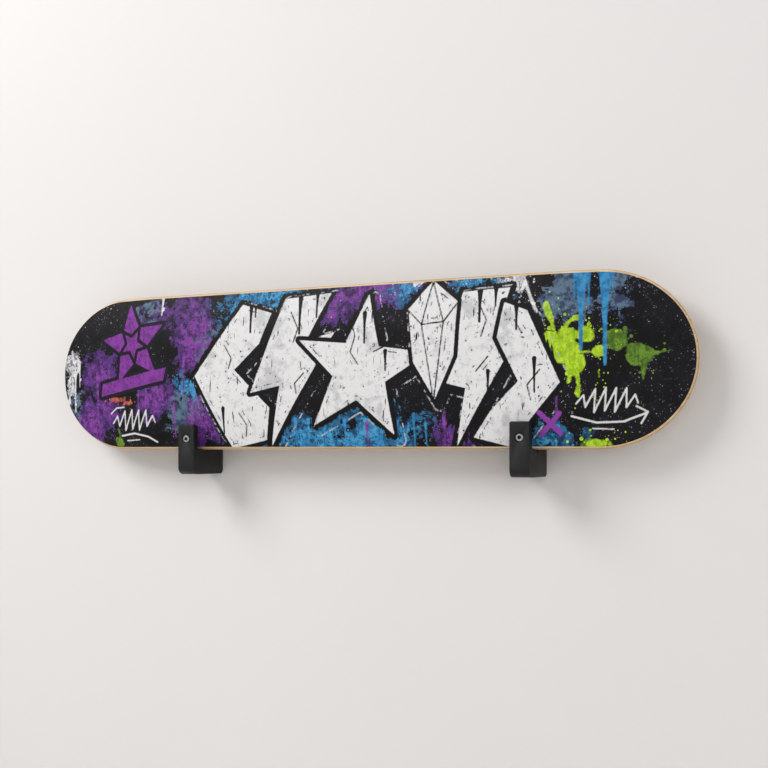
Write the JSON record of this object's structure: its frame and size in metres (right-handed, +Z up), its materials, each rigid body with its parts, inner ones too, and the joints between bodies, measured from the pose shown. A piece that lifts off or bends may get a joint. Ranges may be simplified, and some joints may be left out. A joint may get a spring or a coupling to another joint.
{
  "type": "skateboard deck on wall brackets",
  "caption": "Bare popsicle skateboard deck with a printed underside, standing on its rail in hook-shaped wall brackets with clamp screws.",
  "frame": {"origin": "centre of the wall-screw pattern, on the wall plane", "axes": "+X along the board to the right as seen from the room, +Y into the wall, +Z up"},
  "size_m": [0.8132, 0.066, 0.2205],
  "materials": {
    "film": "printed heat-transfer film, satin",
    "maple": "clear-sealed maple veneer",
    "black_nylon": "fine-grained moulded matte black",
    "brass": "turned",
    "steel": "zinc-plated",
    "pad_rubber": "matte",
    "liner_rubber": "matte"
  },
  "bodies": {
    "brackets": {"left_bracket_body": "black_nylon", "left_thread_insert": "brass", "left_seat_liner": "liner_rubber", "left_back_liner": "liner_rubber", "right_bracket_body": "black_nylon", "right_thread_insert": "brass", "right_seat_liner": "liner_rubber", "right_back_liner": "liner_rubber"},
    "deck": {"graphic_film": "film", "ply_1": "maple", "ply_2": "maple", "ply_3": "maple", "ply_4": "maple", "ply_5": "maple", "ply_6": "maple", "ply_7": "maple"},
    "left_pad": {"left_pressure_pad": "pad_rubber"},
    "left_screw": {"left_clamp_screw": "steel"},
    "right_pad": {"right_pressure_pad": "pad_rubber"},
    "right_screw": {"right_clamp_screw": "steel"}
  },
  "joints": [
    {"name": "deck_lift", "type": "slide", "parent": "brackets", "child": "deck", "axis": [0, 0, 1], "range_m": [0, 0.1]},
    {"name": "left_pad_slide", "type": "slide", "parent": "brackets", "child": "left_pad", "axis": [0, -1, 0], "range_m": [0, 0.0024]},
    {"name": "left_screw_turn", "type": "hinge", "parent": "left_pad", "child": "left_screw", "pos_m": [-0.21, -0.06, -0.0482], "axis": [0, -1, 0], "range_deg": [0, 1080]},
    {"name": "right_pad_slide", "type": "slide", "parent": "brackets", "child": "right_pad", "axis": [0, -1, 0], "range_m": [0, 0.0024]},
    {"name": "right_screw_turn", "type": "hinge", "parent": "right_pad", "child": "right_screw", "pos_m": [0.21, -0.06, -0.0482], "axis": [0, -1, 0], "range_deg": [0, 1080]}
  ],
  "couplings": [
    {"joint": "left_pad_slide", "follows": "left_screw_turn", "m_per_rad": 0.00012732},
    {"joint": "right_pad_slide", "follows": "right_screw_turn", "m_per_rad": 0.00012732}
  ]
}
